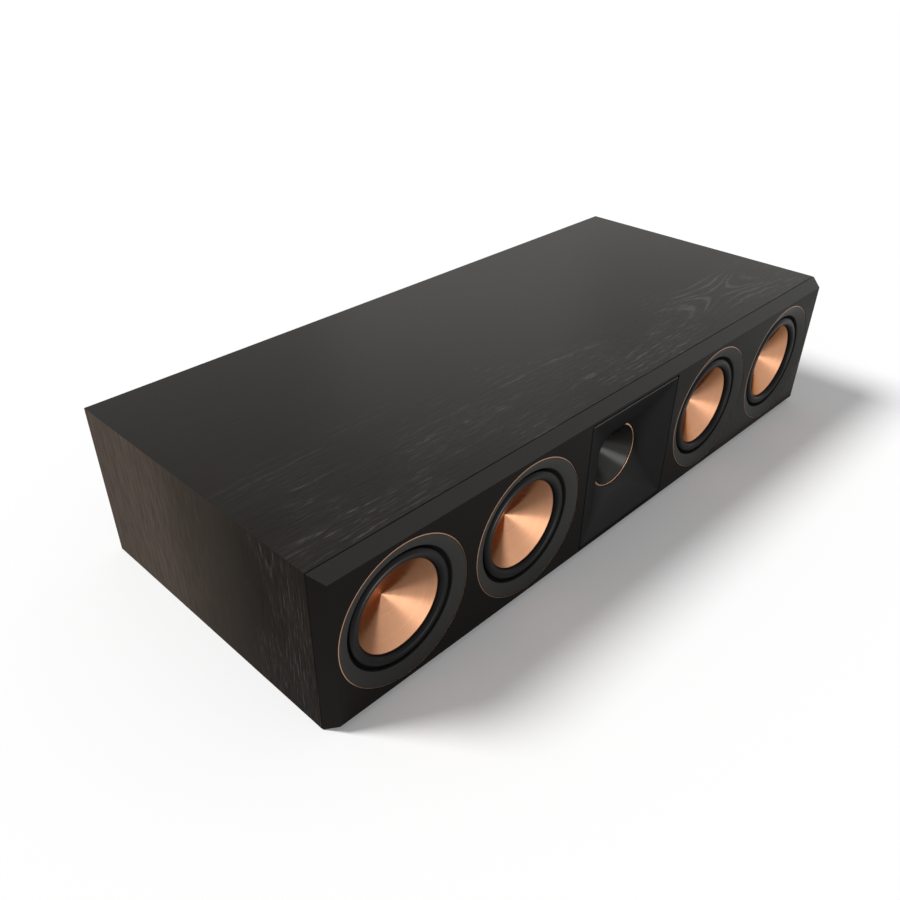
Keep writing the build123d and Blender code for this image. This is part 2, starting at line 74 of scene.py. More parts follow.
class Signal:
    """A node socket's output, so that shader maths reads as Python."""

    def __init__(self, graph: "Graph", socket: Optional[bpy.types.NodeSocket]) -> None:
        """Keeps the graph and the socket."""
        self.graph = graph
        self.socket = socket

    def __add__(self, other: Value) -> "Signal":
        """The sum of two values."""
        return self.graph.maths("ADD", self, other)

    __radd__ = __add__

    def __sub__(self, other: Value) -> "Signal":
        """This value less another."""
        return self.graph.maths("SUBTRACT", self, other)

    def __rsub__(self, other: Value) -> "Signal":
        """Another value less this one."""
        return self.graph.maths("SUBTRACT", other, self)

    def __mul__(self, other: Value) -> "Signal":
        """The product of two values."""
        return self.graph.maths("MULTIPLY", self, other)

    __rmul__ = __mul__

    def __truediv__(self, other: Value) -> "Signal":
        """This value over another."""
        return self.graph.maths("DIVIDE", self, other)

    def __rtruediv__(self, other: Value) -> "Signal":
        """Another value over this one."""
        return self.graph.maths("DIVIDE", other, self)

    def __pow__(self, other: Value) -> "Signal":
        """This value to a power."""
        return self.graph.maths("POWER", self, other)

    def __rpow__(self, other: Value) -> "Signal":
        """Another value to the power of this one."""
        return self.graph.maths("POWER", other, self)

    def root(self) -> "Signal":
        """The square root of this value."""
        return self.graph.maths("SQRT", self)

    def size(self) -> "Signal":
        """This value without its sign."""
        return self.graph.maths("ABSOLUTE", self)

    def over(self, other: Value) -> "Signal":
        """The larger of two values."""
        return self.graph.maths("MAXIMUM", self, other)

    def rise(self, low: float, high: float) -> "Signal":
        """A smooth step from 0 at low to 1 at high, or down where high is the lower.

        Args:
            low: Where the step starts.
            high: Where it ends.

        Returns:
            The step, from 0 to 1.
        """
        if high < low:
            return 1.0 - self.rise(high, low)
        return self.graph.node("ShaderNodeMapRange", {"interpolation_type": "SMOOTHSTEP"},
                               {"Value": self, "From Min": low, "From Max": high})


class Graph:
    """A node tree, with one method that adds any node."""

    def __init__(self, tree: bpy.types.NodeTree) -> None:
        """Empties the tree."""
        self.tree = tree
        tree.nodes.clear()

    def node(self, kind: str, settings: Optional[Dict] = None, inputs: Optional[Dict] = None,
             output: Optional[str] = None) -> Signal:
        """Adds a node.

        Args:
            kind: The node's type.
            settings: Its settings, set first.
            inputs: Values or links of its sockets, by name or number.
            output: The output's name, or None for the first one in use.

        Returns:
            The node's output.
        """
        made = self.tree.nodes.new(kind)
        for key, value in (settings or {}).items():
            setattr(made, key, value)
        for key, value in (inputs or {}).items():
            self._feed(made, key, value)
        outputs = [o for o in made.outputs if o.enabled and output in (None, o.name)]
        return Signal(self, outputs[0] if outputs else None)

    def _feed(self, made: bpy.types.Node, key: Union[str, int], value: Value) -> None:
        """Sets or links one socket of a node.

        Args:
            made: The node.
            key: The socket's name or number.
            value: A number, a colour or what is linked to it.
        """
        if isinstance(key, int):
            socket = made.inputs[key]
        else:
            socket = next(s for s in made.inputs if s.name == key and s.enabled)
        if isinstance(value, Signal):
            self.tree.links.new(value.socket, socket)
        elif isinstance(value, tuple) and socket.type == "RGBA":
            socket.default_value = (*value, 1.0)
        else:
            socket.default_value = value

    def maths(self, operation: str, *values: Value) -> Signal:
        """One Math node on values."""
        return self.node("ShaderNodeMath", {"operation": operation}, dict(enumerate(values)))

    def place(self) -> Signal:
        """The point of the surface in its object's own frame, in metres."""
        return self.node("ShaderNodeTexCoord", output="Object")

    def split(self, vector: Signal) -> List[Signal]:
        """A vector's three parts."""
        parts = self.node("ShaderNodeSeparateXYZ", None, {"Vector": vector})
        return [Signal(self, s) for s in parts.socket.node.outputs]

    def join(self, x: Value, y: Value, z: Value) -> Signal:
        """A vector from three parts."""
        return self.node("ShaderNodeCombineXYZ", None, {"X": x, "Y": y, "Z": z})

    def noise(self, vector: Signal, scale: float = 1.0, detail: float = 2.0,
              roughness: float = 0.5) -> Signal:
        """Noise from 0 to 1.

        Args:
            vector: Where it is read.
            scale: Its frequency.
            detail: How many finer layers it has.
            roughness: How strong those layers are.

        Returns:
            The noise.
        """
        inputs = {"Vector": vector, "Scale": scale, "Detail": detail, "Roughness": roughness}
        return self.node("ShaderNodeTexNoise", None, inputs)

    def blend(self, factor: Value, a: Value, b: Value) -> Signal:
        """A mix of two colours by a factor."""
        settings = {"data_type": "RGBA", "clamp_factor": True}
        return self.node("ShaderNodeMix", settings, {"Factor": factor, "A": a, "B": b})

    def bump(self, height: Signal, strength: float, distance: float) -> Signal:
        """A normal from a height in metres times the distance."""
        inputs = {"Height": height, "Strength": strength, "Distance": distance}
        return self.node("ShaderNodeBump", None, inputs)

    def shader(self, inputs: Dict) -> Signal:
        """The main surface shader with these sockets."""
        return self.node("ShaderNodeBsdfPrincipled", None, inputs)

    def mixed(self, share: Signal, first: Signal, second: Signal) -> Signal:
        """Two shaders mixed by the second one's share."""
        return self.node("ShaderNodeMixShader", None, {0: share, 1: first, 2: second})

    def surface(self, shader: Signal) -> None:
        """Ends a material at its output."""
        self.node("ShaderNodeOutputMaterial", None, {"Surface": shader})


class Grain(Enum):
    """Which way the veneer's grain runs."""

    ALONG_WIDTH = "width"
    ALONG_HEIGHT = "height"


class Side(Enum):
    """Which way a turned piece looks, as its turn about the upright axis."""

    FRONT = 0.0
    BACK = math.pi


@dataclass(frozen=True)
class Finish:
    """A finish by its name, made into a material once."""

    name: str

    def paint(self, graph: Graph) -> Signal:
        """The finish's shader."""
        raise NotImplementedError

    def material(self) -> bpy.types.Material:
        """The material of this finish, made at the first call.

        Returns:
            The material.
        """
        name = f"{self.name}_finish"
        found = bpy.data.materials.get(name)
        if found is None:
            found = bpy.data.materials.new(name)
            found.use_nodes = True
            graph = Graph(found.node_tree)
            graph.surface(self.paint(graph))
        return found


@dataclass(frozen=True)
class WoodVeneer(Finish):
    """Black-brown open-pore oak: plain to the back, flecked to the front, arched about one place.

    A layer's two numbers say how fine its noise is along and across the grain. The other sizes
    are in metres, as the shader reads them. On the end panels the back is far lighter than the
    front: plainer grain there, and painted light too, a lit back and a shaded front.
    """

    grain: Grain = Grain.ALONG_WIDTH
    lean: float = 0.4
    offset: float = -0.0704
    dark: Colour = (0.0084, 0.0067, 0.0052)
    warm: Colour = (0.0158, 0.0132, 0.0108)
    # The back's colour. On the end panels it is far lighter than the front's: plainer grain, and
    # painted light too, a lit back and a shaded front.
    plain: Colour = (0.0122, 0.0098, 0.0074)
    pale: Colour = (0.066, 0.063, 0.060)
    back_tone_from: float = -0.100
    back_tone_to: float = 0.020
    lines_from: float = -0.120
    lines_to: float = -0.010
    arch_across: float = -0.105
    arch_along: float = 0.286
    arch_reach: float = 0.100
    arch_width: float = 0.050
    taper: float = 0.36
    limit: float = 0.045
    ring_pitch: float = 0.0120
    wander_layer: Point = (4.0, 11.0)
    waver_layer: Point = (28.0, 70.0)
    fibre_layer: Point = (16.0, 430.0)
    pore_layer: Point = (60.0, 640.0)
    patch_layer: Point = (9.0, 17.0)
    fibre_turn: float = 30.0
    roughness: float = 0.30
    specular: float = 0.068
    relief: float = 0.30
    relief_depth: float = 0.0003

    def paint(self, graph: Graph) -> Signal:
        """The veneer's shader.

        Args:
            graph: The material's nodes.

        Returns:
            The shader.
        """
        x, y, z = graph.split(graph.place())
        along, third = (x, z) if self.grain is Grain.ALONG_WIDTH else (z, x)
        across = y + third * self.lean + self.offset

        def layer(fine: Point, cut: Value, detail: float = 2.0, rough: float = 0.5) -> Signal:
            """Noise drawn out along the grain, at one cut through it."""
            spot = graph.join(along * fine[0], across * fine[1], cut)
            return graph.noise(spot, detail=detail, roughness=rough)

        wander = layer(self.wander_layer, 0.37) - 0.5
        waver = layer(self.waver_layer, 0.11) - 0.5
        fibre = layer(self.fibre_layer, z * self.fibre_turn, 4.0, 0.65)
        pore = layer(self.pore_layer, 2.6, 2.0, 0.6)
        patch = layer(self.patch_layer, 1.7)
        # A ramp from the figured front to the back's colour; on the end panels it is painted light
        # as well as grain, the back lit and the front shaded.
        tone = (across + wander * 0.07).rise(self.back_tone_to, self.back_tone_from)
        figure = (across + wander * 0.09).rise(self.lines_to, self.lines_from)
        # Year rings are curves about the arch's axis; they straighten out away from its tip.
        side = across - self.arch_across + wander * 0.012
        slope = (along - self.arch_along) * self.taper + wander * 0.014
        reach = slope / ((slope / self.limit) ** 2.0 + 1.0).root()
        rings = (side * side - reach * reach).size().root() / self.ring_pitch + waver * 0.7
        wave = graph.maths("FRACT", rings)
        line = wave.rise(0.56, 0.78) * wave.rise(1.0, 0.86)
        dash = pore.rise(0.50, 0.66)
        ahead = (along - self.arch_along) / self.arch_reach
        arch = ((side / self.arch_width) ** 2.0 + ahead ** 2.0).rise(1.0, 0.2)
        flecks = (line * (dash * 0.80 + 0.10) + dash * 0.22) * patch.rise(0.38, 0.64)
        arches = arch * line * patch.rise(0.34, 0.54) * (pore * 1.1 + 0.2)
        fleck = flecks * (figure * 0.95 + 0.05) + arches
        ground = graph.blend((fibre * 0.9 + patch * 0.3).rise(0.25, 0.85), self.dark, self.warm)
        back_colour = graph.blend(fibre.rise(0.25, 0.75) * 0.6, self.plain, self.warm)
        height = fibre * 0.4 - dash * figure * 0.6
        return graph.shader({
            "Base Color": graph.blend(fleck, graph.blend(tone, back_colour, ground), self.pale),
            "Roughness": fibre * 0.12 + fleck * 0.12 + (self.roughness - 0.06),
            "Specular IOR Level": self.specular,
            "Normal": graph.bump(height, self.relief, self.relief_depth),
        })


@dataclass(frozen=True)
class Grained(Finish):
    """A surface with broad clouds and a fine grain. Its kinds differ in their numbers.

    Of two shares, the first is the clouds' and the second the grain's.
    """

    colour: Colour = (0.02, 0.02, 0.02)
    roughness: float = 0.5
    specular: float = 0.5
    relief: float = 0.1
    fineness: float = 1500.0
    grain_detail: float = 2.0
    grain_contrast: float = 0.5
    cloud_scale: float = 23.0
    cloud_detail: float = 3.0
    tones: Point = (1.0, 1.35)
    tone_shares: Point = (0.6, 0.3)
    sheen_shares: Point = (0.08, 0.06)
    relief_depth: float = 0.0002
    metallic: float = 0.0

    def shaded(self, graph: Graph, specular: float, roughness: float) -> Signal:
        """The shader at this gloss.

        Args:
            graph: The material's nodes.
            specular: The level of its reflection.
            roughness: Its mean roughness.

        Returns:
            The shader.
        """
        place = graph.place()
        cloud = graph.noise(place, self.cloud_scale, self.cloud_detail)
        grain = graph.noise(place, self.fineness, self.grain_detail, self.grain_contrast)
        deep, light = (tuple(c * tone for c in self.colour) for tone in self.tones)
        tone = cloud * self.tone_shares[0] + grain * self.tone_shares[1]
        sheen = cloud * self.sheen_shares[0] + grain * self.sheen_shares[1]
        return graph.shader({
            "Base Color": graph.blend(tone, deep, light),
            "Metallic": self.metallic,
            "Roughness": sheen + (roughness - sum(self.sheen_shares) / 2),
            "Specular IOR Level": specular,
            "Normal": graph.bump(grain, self.relief, self.relief_depth),
        })

    def paint(self, graph: Graph) -> Signal:
        """The shader at the finish's own gloss."""
        return self.shaded(graph, self.specular, self.roughness)


@dataclass(frozen=True)
class Paint(Grained):
    """Sprayed paint with a very fine orange peel."""

    fineness: float = 1900.0


@dataclass(frozen=True)
class BafflePaint(Paint):
    """The baffle's paint: satin on the upper bevel and flat on the rest."""

    face_specular: float = 0.040
    face_roughness: float = 0.42
    bevel_lift: float = 0.3

    def paint(self, graph: Graph) -> Signal:
        """The two sheens, parted by how far a face looks up.

        Args:
            graph: The material's nodes.

        Returns:
            The shader.
        """
        normal = graph.node("ShaderNodeNewGeometry", output="True Normal")
        bevel = graph.maths("GREATER_THAN", graph.split(normal)[2], self.bevel_lift)
        satin = self.shaded(graph, self.specular, self.roughness)
        flat = self.shaded(graph, self.face_specular, self.face_roughness)
        return graph.mixed(bevel, flat, satin)


@dataclass(frozen=True)
class Metal(Grained):
    """Plain metal with fine scratches and faint clouding."""

    fineness: float = 2400.0
    cloud_scale: float = 60.0
    tones: Point = (0.8, 1.0)
    tone_shares: Point = (0.5, 0.3)
    sheen_shares: Point = (0.08, 0.08)
    relief_depth: float = 0.0001
    metallic: float = 1.0


@dataclass(frozen=True)
class Moulding(Grained):
    """Moulded plastic or rubber with a fine spark-eroded texture."""

    grain_detail: float = 3.0
    grain_contrast: float = 0.6
    cloud_scale: float = 35.0
    tones: Point = (1.0, 1.3)
    tone_shares: Point = (0.5, 0.4)
    sheen_shares: Point = (0.08, 0.10)


@dataclass(frozen=True)
class SpunMetal(Finish):
    """Metal spun about its own z axis: fine rings, and light drawn out in wedges."""

    colour: Colour = (0.56, 0.290, 0.168)
    deep: Colour = (0.46, 0.230, 0.130)
    edge: Colour = (0.62, 0.42, 0.32)
    roughness: float = 0.22
    anisotropy: float = 0.80
    turn: float = 0.25
    groove_scale: float = 2600.0
    band_scale: float = 160.0
    streak_scale: Point = (30.0, 900.0)
    relief: float = 0.12
    relief_depth: float = 0.0001

    def paint(self, graph: Graph) -> Signal:
        """The metal's shader.

        Args:
            graph: The material's nodes.

        Returns:
            The shader.
        """
        x, y, _ = graph.split(graph.place())
        radius = (x * x + y * y).root()
        groove, band = (graph.noise(graph.join(radius * scale, 0.0, 0.0))
                        for scale in (self.groove_scale, self.band_scale))
        broad, fine = self.streak_scale
        streak = graph.noise(graph.join(x * broad, y * broad, radius * fine))
        tone = groove * 0.45 + band * 0.25 + streak * 0.4
        return graph.shader({
            "Base Color": graph.blend(tone.rise(0.3, 0.8), self.deep, self.colour),
            "Metallic": 1.0,
            "Specular Tint": self.edge,
            "Roughness": streak * 0.10 + groove * 0.06 + (self.roughness - 0.08),
            "Anisotropic": self.anisotropy,
            "Anisotropic Rotation": self.turn,
            "Normal": graph.bump(groove, self.relief, self.relief_depth),
        })


@dataclass(frozen=True)
class Fibre(Finish):
    """Felted or pressed fibre: board, cloth and wadding."""

    colour: Colour = (0.3, 0.2, 0.1)
    other: Colour = (0.2, 0.13, 0.07)
    scale: float = 700.0
    lift: float = 0.4
    cloud_size: float = 25.0
    specular: float = 0.15
    relief_depth: float = 0.0006

    def paint(self, graph: Graph) -> Signal:
        """The fibre's shader.

        Args:
            graph: The material's nodes.

        Returns:
            The shader.
        """
        place = graph.place()
        fleck = graph.noise(place, self.scale, 4.0, 0.65)
        cloud = graph.noise(place, self.scale / self.cloud_size, 3.0)
        tone = (fleck * 0.7 + cloud * 0.4).rise(0.3, 0.8)
        return graph.shader({
            "Base Color": graph.blend(tone, self.other, self.colour),
            "Roughness": fleck * 0.15 + 0.78,
            "Specular IOR Level": self.specular,
            "Normal": graph.bump(fleck, self.lift, self.relief_depth),
        })


VENEER = WoodVeneer("veneer")
# The ends' back colour is many times lighter than their front: painted light, a lit back and a
# shaded front, over grain that is plainer there.
END_VENEER = WoodVeneer(
    "end_veneer", grain=Grain.ALONG_HEIGHT, lean=0.1, offset=0.0415,
    dark=(0.0100, 0.0090, 0.0080), warm=(0.032, 0.0262, 0.0218),
    plain=(0.140, 0.108, 0.085), pale=(0.088, 0.084, 0.079),
    back_tone_from=-0.120, back_tone_to=0.120, lines_from=-0.112, lines_to=-0.020,
    arch_across=-0.118, arch_along=-0.06, arch_reach=0.02, taper=0.10, limit=0.2,
    ring_pitch=0.0046, roughness=0.45, specular=0.004)
BACK_BOARD = Paint("back_board", (0.016, 0.0155, 0.015), 0.6, 0.15, 0.3)
BOARD = Fibre("board", (0.30, 0.20, 0.12), (0.20, 0.13, 0.08))
WADDING = Fibre("wadding", (0.55, 0.55, 0.53), (0.40, 0.40, 0.39), 320.0, 0.8)
BAFFLE_PAINT = BafflePaint("baffle_paint", (0.0078, 0.0068, 0.0058), 0.42, 0.28, 0.05)
COPPER_TRIM = Metal("copper_trim", (0.43, 0.255, 0.168), 0.30, relief=0.03)
TRIM = Moulding("trim", (0.0150, 0.0144, 0.0134), 0.50, 0.20, 0.05)
RUBBER = Moulding("surround_rubber", (0.0045, 0.0045, 0.0046), 0.34, 0.11, 0.06, 900.0)
GASKET = Moulding("gasket", (0.0030, 0.0030, 0.0030), 0.70, 0.02, 0.20, 900.0)
SPIDER_CLOTH = Fibre("spider_cloth", (0.55, 0.40, 0.16), (0.42, 0.29, 0.10), 1400.0, 0.5)
CAST_FRAME = Moulding("cast_frame", (0.03, 0.03, 0.032), 0.5, 0.4, 0.3, 700.0)
STEEL = Metal("steel", (0.50, 0.50, 0.49), 0.38)
FERRITE = Moulding("ferrite", (0.045, 0.045, 0.048), 0.6, 0.4, 0.3, 600.0)
CONE_METAL = SpunMetal("cone_metal")
COPPER_WIRE = Metal("copper_wire", (0.70, 0.34, 0.18), 0.35)
HORN_BLACK = Moulding("horn", (0.0115, 0.0113, 0.0112), 0.46, 0.0, 0.04)
# The top lip's paint: lighter and glossier than the horn's, a painted highlight along that edge.
HORN_LIP_HIGHLIGHT = Moulding("horn_lip", (0.0240, 0.0236, 0.0234), 0.40, 0.30, 0.04)
RING_COPPER = Metal("ring_copper", (0.80, 0.46, 0.27), 0.22, relief=0.03)
THROAT_GREY = SpunMetal("horn_throat", (0.042, 0.0415, 0.0405), (0.031, 0.0305, 0.030), WHITE,
                        0.32, 0.85)
DOME_METAL = Metal("dome_metal", (0.42, 0.42, 0.43), 0.32)
MOULDING = Moulding("moulding", (0.014, 0.014, 0.014), 0.5, 0.35, 0.2, 1200.0)
POST_METAL = Metal("post_metal", (0.86, 0.62, 0.28), 0.22)
RED_CAP = Moulding("red_cap", (0.42, 0.012, 0.010), 0.32, 0.5, 0.05)
BLACK_CAP = Moulding("black_cap", (0.012, 0.012, 0.012), 0.32, 0.5, 0.05)
CIRCUIT_BOARD = Moulding("circuit_board", (0.03, 0.10, 0.045), 0.45, 0.4, 0.1)
CAPACITOR = Moulding("capacitor", (0.55, 0.36, 0.05), 0.35, 0.5, 0.05)
RESISTOR = Moulding("resistor", (0.62, 0.60, 0.55), 0.7, 0.3, 0.3, 800.0)
SCREW_BLACK = Metal("screw_black", (0.05, 0.05, 0.052), 0.35)


def turned(radii: Sequence[float], depth: float) -> Ring:
    """A ring of points about the z axis, one radius for each step of a turn."""
    angles = [2 * math.pi * i / len(radii) for i in range(len(radii))]
    return [(r * math.cos(a), r * math.sin(a), -depth) for r, a in zip(radii, angles)]


def rounded(corners: Sequence[Spot], steps: int = 5) -> List[Point]:
    """A closed section with rounded corners.

    Args:
        corners: Radius, depth and rounding of each corner.
        steps: How many pieces a rounding has.

    Returns:
        The section's points.
    """
    points: List[Point] = []
    for i, (radius, depth, rounding) in enumerate(corners):
        here = Vector((radius, depth))
        before = Vector(corners[i - 1][:2]) - here
        after = Vector(corners[(i + 1) % len(corners)][:2]) - here
        reach = min(rounding, before.length * 0.49, after.length * 0.49)
        if reach <= 0:
            points.append((radius, depth))
            continue
        start = here + before.normalized() * reach
        end = here + after.normalized() * reach
        for k in range(steps + 1):
            t = k / steps
            spot = start * (1 - t) ** 2 + here * 2 * t * (1 - t) + end * t ** 2
            points.append((spot.x, spot.y))
    return points


def mesh_object(name: str, verts: Sequence[Spot], faces: Sequence[Sequence[int]],
                sharp: float = 35.0) -> bpy.types.Object:
    """A smooth object from points, with sharp edges above an angle.

    Args:
        name: The object's name.
        verts: Its points.
        faces: Its faces.
        sharp: The angle in degrees.

    Returns:
        The object, at the origin.
    """
    mesh = bpy.data.meshes.new(name)
    mesh.from_pydata([tuple(c * MM for c in v) for v in verts], [], faces)
    work = bmesh.new()
    work.from_mesh(mesh)
    bmesh.ops.recalc_face_normals(work, faces=work.faces)
    work.to_mesh(mesh)
    work.free()
    mesh.shade_smooth()
    mesh.set_sharp_from_angle(angle=math.radians(sharp))
    made = bpy.data.objects.new(name, mesh)
    bpy.context.scene.collection.objects.link(made)
    return made


def loft(name: str, loops: Sequence[Ring], closed: bool = True,
         sharp: float = 35.0) -> bpy.types.Object:
    """A skin through loops of the same number of points.

    Args:
        name: The object's name.
        loops: The loops, each a ring of points or a single point.
        closed: Whether the last loop joins the first.
        sharp: The angle above which edges are sharp, in degrees.

    Returns:
        The object.
    """
    verts: Ring = []
    rows: List[List[int]] = []
    for ring in loops:
        rows.append(list(range(len(verts), len(verts) + len(ring))))
        verts.extend(ring)
    count = max(len(row) for row in rows)
    faces = []
    for a, b in zip(rows, rows[1:] + (rows[:1] if closed else [])):
        for i in range(count):
            j = (i + 1) % count
            quad = [a[i % len(a)], a[j % len(a)], b[j % len(b)], b[i % len(b)]]
            corners = list(dict.fromkeys(quad))
            if len(corners) > 2:
                faces.append(corners)
    return mesh_object(name, verts, faces, sharp)


def lathe(name: str, section: Sequence[Point], segments: int = 160, closed: bool = True,
          sharp: float = 35.0) -> bpy.types.Object:
    """A turned piece about its own z axis, with depth behind the front going to -z.

    Args:
        name: The object's name.
        section: Radius and depth of the section's points.
        segments: How many steps a turn has.
        closed: Whether the section closes on itself.
        sharp: The angle above which edges are sharp, in degrees.

    Returns:
        The object.
    """
    loops = [turned([radius] * segments, depth) if radius > 1e-6 else [(0.0, 0.0, -depth)]
             for radius, depth in section]
    return loft(name, loops, closed, sharp)


def face(piece: bpy.types.Object, side: Side, place: Spot) -> None:
    """Turns a piece's own z axis to the front or the back and sets it in its place."""
    piece.rotation_euler = Euler((math.pi / 2, 0.0, side.value))
    piece.location = tuple(c * MM for c in place)


def dress(piece: bpy.types.Object, *finishes: Finish) -> None:
    """Gives an object its materials.

    Args:
        piece: The object.
        finishes: The finishes of its material slots, in order.
    """
    piece.data.materials.clear()
    for finish in finishes:
        piece.data.materials.append(finish.material())


def report(piece: bpy.types.Object) -> None:
    """Logs a finished piece."""
    look = piece.data.materials[0].name
    LOG.info("%s: %d faces, %s", piece.name, len(piece.data.polygons), look)


def dress_nodes(finish: Finish, *nodes: str) -> None:
    """Gives CAD nodes a finish.

    Args:
        finish: The finish.
        nodes: The nodes' names.
    """
    for node in nodes:
        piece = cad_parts[node]
        dress(piece, finish)
        report(piece)


def stand_for(piece: bpy.types.Object, node: str) -> None:
    """Hides the CAD node that a piece stands for, and reports the piece.

    Args:
        piece: The piece, on its body already.
        node: The CAD node.
    """
    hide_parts(node)
    report(piece)


@dataclass
class Cabinet:
    """The veneered box with its back, its braces and its damping pad."""

    pad_round: float = 6.0
    pad_cells: int = 26
    pad_swell: float = 2.2
    pad_sharp: float = 60.0
    pad_fill: float = 0.5
    seed: int = 7

    def build(self) -> None:
        """Dresses the box and makes the pad."""
        dress_nodes(VENEER, "cabinet_top", "cabinet_bottom")
        dress_nodes(END_VENEER, "cabinet_left_end", "cabinet_right_end")
        dress_nodes(BACK_BOARD, "cabinet_back")
        dress_nodes(BOARD, "brace_left", "brace_right")
        dress_nodes(BAFFLE_PAINT, "front_baffle")
        self.pad()

    def pad(self) -> None:
        """A soft wadding pad in place of its plain solid, a little uneven underneath."""
        low, high = (Vector(c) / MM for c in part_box("damping_pad"))
        size = high - low
        nx, ny = self.pad_cells, self.pad_cells // 2
        lumps = np.random.default_rng(self.seed).normal(0.0, 1.0, (nx + 2, ny + 2))
        under, over = [], []
        for i in range(nx + 1):
            for j in range(ny + 1):
                u, v = i / nx, j / ny
                edge = min(u * size.x, (1 - u) * size.x, v * size.y, (1 - v) * size.y)
                pull = max(0.0, 1.0 - edge / self.pad_round)
                lump = 0.0 if pull else abs(lumps[i, j]) * self.pad_swell
                x, y = low.x + size.x * u, low.y + size.y * v
                under.append((x, y, low.z + self.pad_round * pull ** 2 + lump))
                over.append((x, y, high.z))
        row, layer = ny + 1, len(under)
        faces = []
        for i in range(nx):
            for j in range(ny):
                a = i * row + j
                quad = [a, a + 1, a + row + 1, a + row]
                faces += [quad, [k + layer for k in quad]]
        rim = list(range(ny + 1)) + [i * row + ny for i in range(1, nx + 1)]
        rim += [nx * row + j for j in range(ny - 1, -1, -1)]
        rim += [i * row for i in range(nx - 1, 0, -1)]
        faces += [[a, b, b + layer, a + layer] for a, b in zip(rim, rim[1:] + rim[:1])]
        pad = mesh_object("wadding_pad", under + over, faces, self.pad_sharp)
        dress(pad, WADDING)
        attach(pad, "cabinet")
        stand_for(pad, "damping_pad")


